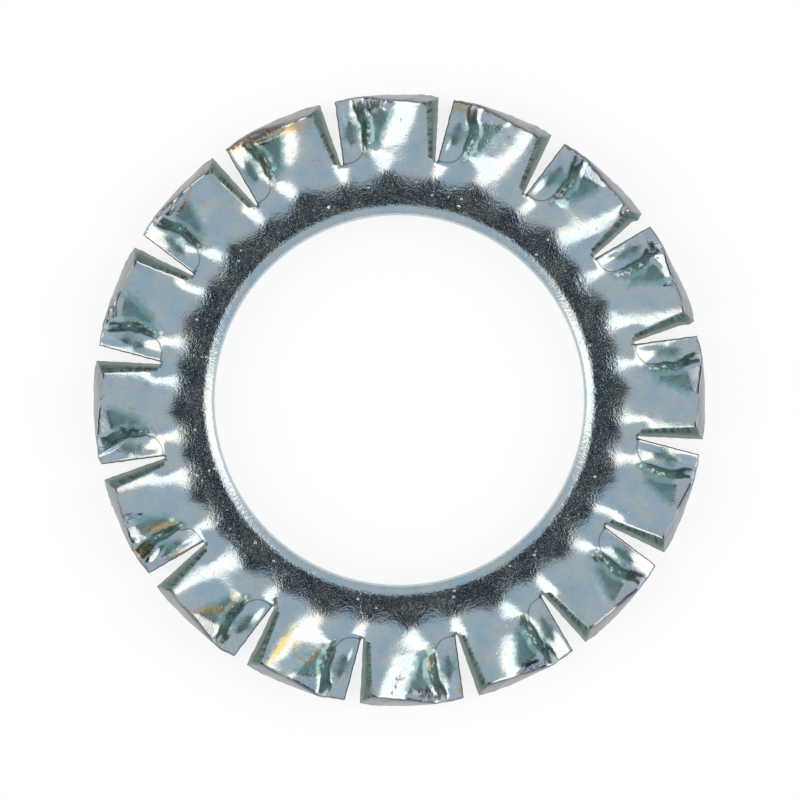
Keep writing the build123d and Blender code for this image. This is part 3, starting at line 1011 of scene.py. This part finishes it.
def new_group(name, inputs, outputs):
    """A node group with its inputs, as (name, kind, value), and outputs, as (name, kind). Gives its
    tree, what comes in and the sockets for what goes out."""
    tree = bpy.data.node_groups.new(name, "ShaderNodeTree")
    for socket_name, kind, value in inputs:
        socket = tree.interface.new_socket(socket_name, in_out="INPUT", socket_type="NodeSocket" + kind)
        socket.default_value = value
    for socket_name, kind in outputs:
        tree.interface.new_socket(socket_name, in_out="OUTPUT", socket_type="NodeSocket" + kind)
    source = node(tree, "NodeGroupInput")
    target = node(tree, "NodeGroupOutput")
    return tree, source.outputs, target.inputs


def placed(tree, group, inputs):
    """A node group placed in a material with its own values. Gives its outputs."""
    made = node(tree, "ShaderNodeGroup", node_tree=group)
    for name, value in inputs.items():
        feed(tree, made.inputs[name], value)
    return made.outputs


# ==== Effects that the finishes share ====

def plate_grain_group():
    """The hammered grain of bright plating: fine and broad waves, less small sharp pits here and there,
    all deeper on the flat ring. The cloud drifts slowly over the plate."""
    tree, given, out = new_group("plate_grain", [("Pits", "Float", 1.0)],
                                 [("Height", "Float"), ("Cloud", "Float")])
    where = node(tree, "ShaderNodeTexCoord").outputs["Object"]
    fine = noise(tree, where, GRAIN_SCALE, roughness=0.6)
    broad = noise(tree, where, BROAD_SCALE, detail=1.0)
    waves = maths(tree, "ADD", fine, times(tree, broad, BROAD_SHARE))
    pits = ramp(tree, cells(tree, where, PIT_SCALE), *PIT_EDGE)
    chosen = ramp(tree, noise(tree, where, PIT_CHOICE_SCALE), *PIT_CHOICE)
    pits = times(tree, pits, chosen)
    pits = times(tree, pits, times(tree, given["Pits"], PIT_DEPTH))
    near, far = (radius * MM for radius in RING_GRAIN_FADE)
    depth = ramp(tree, from_axis(tree, where), near, far, RING_GRAIN, 1.0)
    relief = maths(tree, "SUBTRACT", waves, pits)
    feed(tree, out["Height"], times(tree, relief, depth))
    feed(tree, out["Cloud"], noise(tree, where, CLOUD_SCALE, detail=3.0, roughness=0.6))
    return tree


def stain_and_reflection_group():
    """Stains laid over a plate colour, each with ragged edges: a soft step where its mark and noise
    together pass a level. The teal also stands for painted dark reflection, and the flecks partly for
    painted glints. Dull is the share covered by rust and flecks, Metal what stays bare metal."""
    inputs = [("Plate", "Color", paint(PLATE_COLOUR))]
    inputs += [(name, "Float", 0.0) for name, _, _, _ in STAIN_AND_REFLECTION_LAYERS]
    outputs = [("Colour", "Color"), ("Dull", "Float"), ("Metal", "Float")]
    tree, given, out = new_group("stains", inputs, outputs)
    where = node(tree, "ShaderNodeTexCoord").outputs["Object"]
    fine = noise(tree, where, STAIN_SCALE, detail=4.0, roughness=0.68)
    ragged = times(tree, fine, STAIN_RAGGEDNESS)
    colour = given["Plate"]
    shares = {}
    for name, tint, strength, softness in STAIN_AND_REFLECTION_LAYERS:
        level = maths(tree, "ADD", given[name], ragged)
        start = STAIN_LEVEL - softness
        shares[name] = ramp(tree, level, start, STAIN_LEVEL + softness, high=strength)
        colour = blend(tree, shares[name], colour, paint(tint))
    dull = maths(tree, "MAXIMUM", shares["Rust"], shares["Fleck"])
    matt = times(tree, shares["Teal"], TEAL_MATT)
    covered = maths(tree, "MAXIMUM", dull, matt)
    feed(tree, out["Colour"], colour)
    feed(tree, out["Dull"], dull)
    feed(tree, out["Metal"], maths(tree, "SUBTRACT", 1.0, covered))
    return tree


def scuff_group():
    """Dark radial scuffs where the metal was torn, and the painted shade at the slot roots drawn the same
    way: stretched noise, let through by the scuff mark.
    """
    inputs = [("Amount", "Float", 0.0)]
    inputs += [(name, "Float", value) for name, value in SCUFF_STRETCH.items()]
    tree, given, out = new_group("scuffs", inputs, [("Mask", "Float"), ("Height", "Float")])
    sheet = node(tree, "ShaderNodeUVMap", uv_map="sheet").outputs["UV"]
    scale = node(tree, "ShaderNodeCombineXYZ", {"X": given["Across"], "Y": given["Along"]})
    where = stretched(tree, sheet, scale.outputs["Vector"])
    streak = noise(tree, where, 1.0, detail=3.0, roughness=0.6)
    level = maths(tree, "ADD", times(tree, given["Amount"], SCUFF_GAIN), streak)
    start = maths(tree, "SUBTRACT", SCUFF_LEVEL, given["Softness"])
    end = maths(tree, "ADD", SCUFF_LEVEL, given["Softness"])
    mask = ramp(tree, level, start, end)
    feed(tree, out["Mask"], mask)
    feed(tree, out["Height"], times(tree, mask, streak))
    return tree


# ==== Finishes ====

def new_material(name):
    """A material with nothing but its output. Gives the material, its tree and the output's surface."""
    material = bpy.data.materials.new(name)
    material.use_nodes = True
    tree = material.node_tree
    tree.nodes.clear()
    return material, tree, node(tree, "ShaderNodeOutputMaterial").inputs["Surface"]


def metal(tree, surface, colour, roughness, metallic, height):
    """The shader of a plated metal surface with its relief."""
    bump = node(tree, "ShaderNodeBump", {"Height": height, "Distance": GRAIN_DEPTH * MM})
    inputs = {"Base Color": colour, "Roughness": roughness, "Metallic": metallic,
              "Normal": bump.outputs["Normal"]}
    shader = node(tree, "ShaderNodeBsdfPrincipled", inputs)
    feed(tree, surface, shader.outputs["BSDF"])


def clouded(tree, cloud, first, second):
    """Two colours that drift into each other with the cloud."""
    return blend(tree, ramp(tree, cloud, *CLOUD_SHADES), paint(first), paint(second))


def stained(tree, groups, plate):
    """The stains of the mesh's marks over a plate colour."""
    marks = {name: mark(tree, name.lower()) for name, _, _, _ in STAIN_AND_REFLECTION_LAYERS}
    return placed(tree, groups["stains"], {"Plate": plate, **marks})


def darkened(tree, colour, mask, darkness):
    """A colour with the dark of scuffs and creases over it, as strong as the mask times the darkness."""
    share = times(tree, mask, darkness)
    return blend(tree, share, colour, paint(DARK_COLOUR))


def dulled(tree, cloud, low, high, dull, share):
    """Roughness that drifts from low to high with the cloud, and rises where rust and flecks lie."""
    even = ramp(tree, cloud, *CLOUD_ROUGHNESS, low, high)
    return maths(tree, "ADD", even, times(tree, dull, share))


def plated_face(groups):
    """Bright zinc plate over the formed faces, with its stains, its scuffs and the dark crease line. The
    crease line and the dark at the slot roots are painted shade. Part of the teal and of the flecks is
    painted reflection.
    """
    material, tree, surface = new_material("zinc_plate")
    grain = placed(tree, groups["grain"], {"Pits": 1.0})
    edge = mark(tree, "edge")
    plate = clouded(tree, grain["Cloud"], BLUE_COLOUR, PLATE_COLOUR)
    near_edge = ramp(tree, edge, *LILAC_EDGE, LILAC_STRENGTH, 0.0)
    plate = blend(tree, near_edge, plate, paint(LILAC_COLOUR))
    stain = stained(tree, groups, plate)
    scuff = placed(tree, groups["scuffs"], {"Amount": mark(tree, "scuff")})
    off_line = maths(tree, "ABSOLUTE", mark(tree, "crease"))
    line = ramp(tree, off_line, CREASE_LINE, 0.0)
    border = ramp(tree, edge, BORDER_LINE, 0.0)
    colour = darkened(tree, stain["Colour"], scuff["Mask"], SCUFF_DARKNESS)
    # painted shade along the crease
    colour = darkened(tree, colour, line, CREASE_SHADE)
    colour = darkened(tree, colour, border, BORDER_DARKNESS)
    roughness = dulled(tree, grain["Cloud"], *PLATE_ROUGHNESS, stain["Dull"], STAIN_ROUGHNESS)
    roughness = maths(tree, "ADD", roughness, times(tree, scuff["Mask"], SCUFF_ROUGHNESS))
    furrow = times(tree, scuff["Height"], SCUFF_DEPTH)
    relief = maths(tree, "SUBTRACT", grain["Height"], furrow)
    relief = maths(tree, "SUBTRACT", relief, line)
    metal(tree, surface, colour, roughness, stain["Metal"], relief)
    return material


def cut_face(groups, name, base, roughness, ticks, bare):
    """A cut face: plate over sheared metal, with stains and with dark ticks across it, strongest near
    its upper edge. The less plate it took, the lower its share of bare metal."""
    material, tree, surface = new_material(name)
    grain = placed(tree, groups["grain"], {"Pits": CUT_PITS})
    shade = tuple(CUT_SHADE * part for part in base)
    stain = stained(tree, groups, clouded(tree, grain["Cloud"], shade, base))
    down = mark(tree, "edge")
    amount = ramp(tree, down, *TICK_FADE, ticks, TICK_REST * ticks)
    scuff = placed(tree, groups["scuffs"], {"Amount": amount, **TICK_STRETCH})
    colour = darkened(tree, stain["Colour"], scuff["Mask"], TICK_DARKNESS)
    low, high = roughness - CUT_ROUGHNESS_DRIFT, roughness + CUT_ROUGHNESS_DRIFT
    rough = dulled(tree, grain["Cloud"], low, high, stain["Dull"], CUT_STAIN_ROUGHNESS)
    furrow = times(tree, scuff["Height"], TICK_DEPTH)
    relief = maths(tree, "SUBTRACT", grain["Height"], furrow)
    metal(tree, surface, colour, rough, times(tree, stain["Metal"], bare), relief)
    return material


# ==== Studio ====

def softbox_material():
    """Even light from the whole face of a softbox."""
    material, tree, surface = new_material("softbox")
    inputs = {"Color": paint(SOFTBOX_COLOUR), "Strength": SOFTBOX_STRENGTH}
    feed(tree, surface, node(tree, "ShaderNodeEmission", inputs).outputs["Emission"])
    return material


def floor_material():
    """White for the camera and in the metal, with the washer's soft shadow left on it. From below it
    isn't there."""
    material, tree, surface = new_material("studio_floor")
    diffuse = node(tree, "ShaderNodeBsdfDiffuse", {"Color": paint(FLOOR_COLOUR)})
    rays = node(tree, "ShaderNodeLightPath").outputs
    seen = maths(tree, "MAXIMUM", rays["Is Camera Ray"], rays["Is Glossy Ray"])
    glow = node(tree, "ShaderNodeEmission", {"Strength": times(tree, seen, FLOOR_GLOW)})
    both = node(tree, "ShaderNodeAddShader", {0: diffuse.outputs[0], 1: glow.outputs[0]})
    clear = node(tree, "ShaderNodeBsdfTransparent")
    side = node(tree, "ShaderNodeNewGeometry").outputs["Backfacing"]
    choose = node(tree, "ShaderNodeMixShader", {0: side, 1: both.outputs[0], 2: clear.outputs[0]})
    feed(tree, surface, choose.outputs[0])
    return material


def stage_plate(name, corners, material):
    """A flat four-sided piece of the studio."""
    mesh = bpy.data.meshes.new(name)
    mesh.from_pydata([tuple(corner) for corner in np.array(corners) * MM], [], [(0, 1, 2, 3)])
    mesh.materials.append(material)
    plate = bpy.data.objects.new(name, mesh)
    bpy.context.scene.collection.objects.link(plate)


def level_corners(size, height):
    """Corners of a level square."""
    return [(-size, -size, height), (size, -size, height), (size, size, height), (-size, size, height)]


def make_softbox(name, direction, height, material):
    """A tall box of light that stands on the floor, facing the washer from a direction in the image."""
    angle = math.radians(direction - FIRST_TOOTH_TURN)
    out = np.array([math.sin(angle), math.cos(angle), 0.0])
    along = np.array([math.cos(angle), -math.sin(angle), 0.0]) * SOFTBOX_HALF_WIDTH
    foot = out * SOFTBOX_DISTANCE + np.array([0.0, 0.0, height])
    top = out * SOFTBOX_DISTANCE + np.array([0.0, 0.0, SOFTBOX_HEIGHT])
    stage_plate(name, [foot - along, foot + along, top + along, top - along], material)


def dark_card_material():
    """Dark in the middle, fading to nothing at its rim, so that its edge is soft in the metal."""
    material, tree, surface = new_material("dark_card")
    place = node(tree, "ShaderNodeTexCoord").outputs["Object"]
    distance = from_axis(tree, place)
    fade = ramp(tree, distance, CARD_SOLID_RADIUS * MM, CARD_RADIUS * MM)
    dark = node(tree, "ShaderNodeEmission", {"Color": paint(CARD_COLOUR)})
    clear = node(tree, "ShaderNodeBsdfTransparent")
    choose = node(tree, "ShaderNodeMixShader", {0: fade, 1: dark.outputs[0], 2: clear.outputs[0]})
    feed(tree, surface, choose.outputs[0])
    return material


def make_world():
    """The room's even light."""
    world = bpy.data.worlds.new("soft_room")
    bpy.context.scene.world = world
    world.use_nodes = True
    background = world.node_tree.nodes["Background"]
    background.inputs["Color"].default_value = paint(ROOM_COLOUR)
    background.inputs["Strength"].default_value = ROOM_STRENGTH


def make_camera():
    """Straight above the hole, far off, turned so that the first tooth stands a little left of the top."""
    data = bpy.data.cameras.new("camera")
    data.sensor_width = SENSOR_WIDTH
    data.lens = SENSOR_WIDTH * CAMERA_HEIGHT / VIEW_WIDTH
    data.shift_x = (IMAGE_SIZE / 2.0 - WASHER_CENTRE[0]) / IMAGE_SIZE
    data.shift_y = (WASHER_CENTRE[1] - IMAGE_SIZE / 2.0) / IMAGE_SIZE
    data.clip_start, data.clip_end = (distance * MM for distance in CLIP_DISTANCES)
    camera = bpy.data.objects.new("camera", data)
    bpy.context.scene.collection.objects.link(camera)
    camera.location = (0.0, 0.0, CAMERA_HEIGHT * MM)
    camera.rotation_euler = (0.0, 0.0, math.radians(FIRST_TOOTH_TURN))
    bpy.context.scene.camera = camera


# ==== The scene ====

floor_height = packed_bounds[0][2] / MM - FLOOR_GAP

shared = {"grain": plate_grain_group(), "stains": stain_and_reflection_group(), "scuffs": scuff_group()}
washer = make_washer()
washer.data.materials.append(plated_face(shared))
washer.data.materials.append(cut_face(shared, "sheared_side", **SHEARED_SIDE))
washer.data.materials.append(cut_face(shared, "blanked_rim", **BLANKED_RIM))
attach(washer, "root")
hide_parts("lock_washer")

stage_plate("floor", level_corners(FLOOR_HALF_SIZE, floor_height), floor_material())
softbox = softbox_material()
make_softbox("right_softbox", RIGHT_SOFTBOX_DIRECTION, floor_height, softbox)
make_softbox("left_softbox", LEFT_SOFTBOX_DIRECTION, floor_height, softbox)
stage_plate("dark_card", level_corners(CARD_RADIUS, CARD_HEIGHT), dark_card_material())
make_world()
make_camera()
bpy.context.scene.view_settings.view_transform = "Standard"
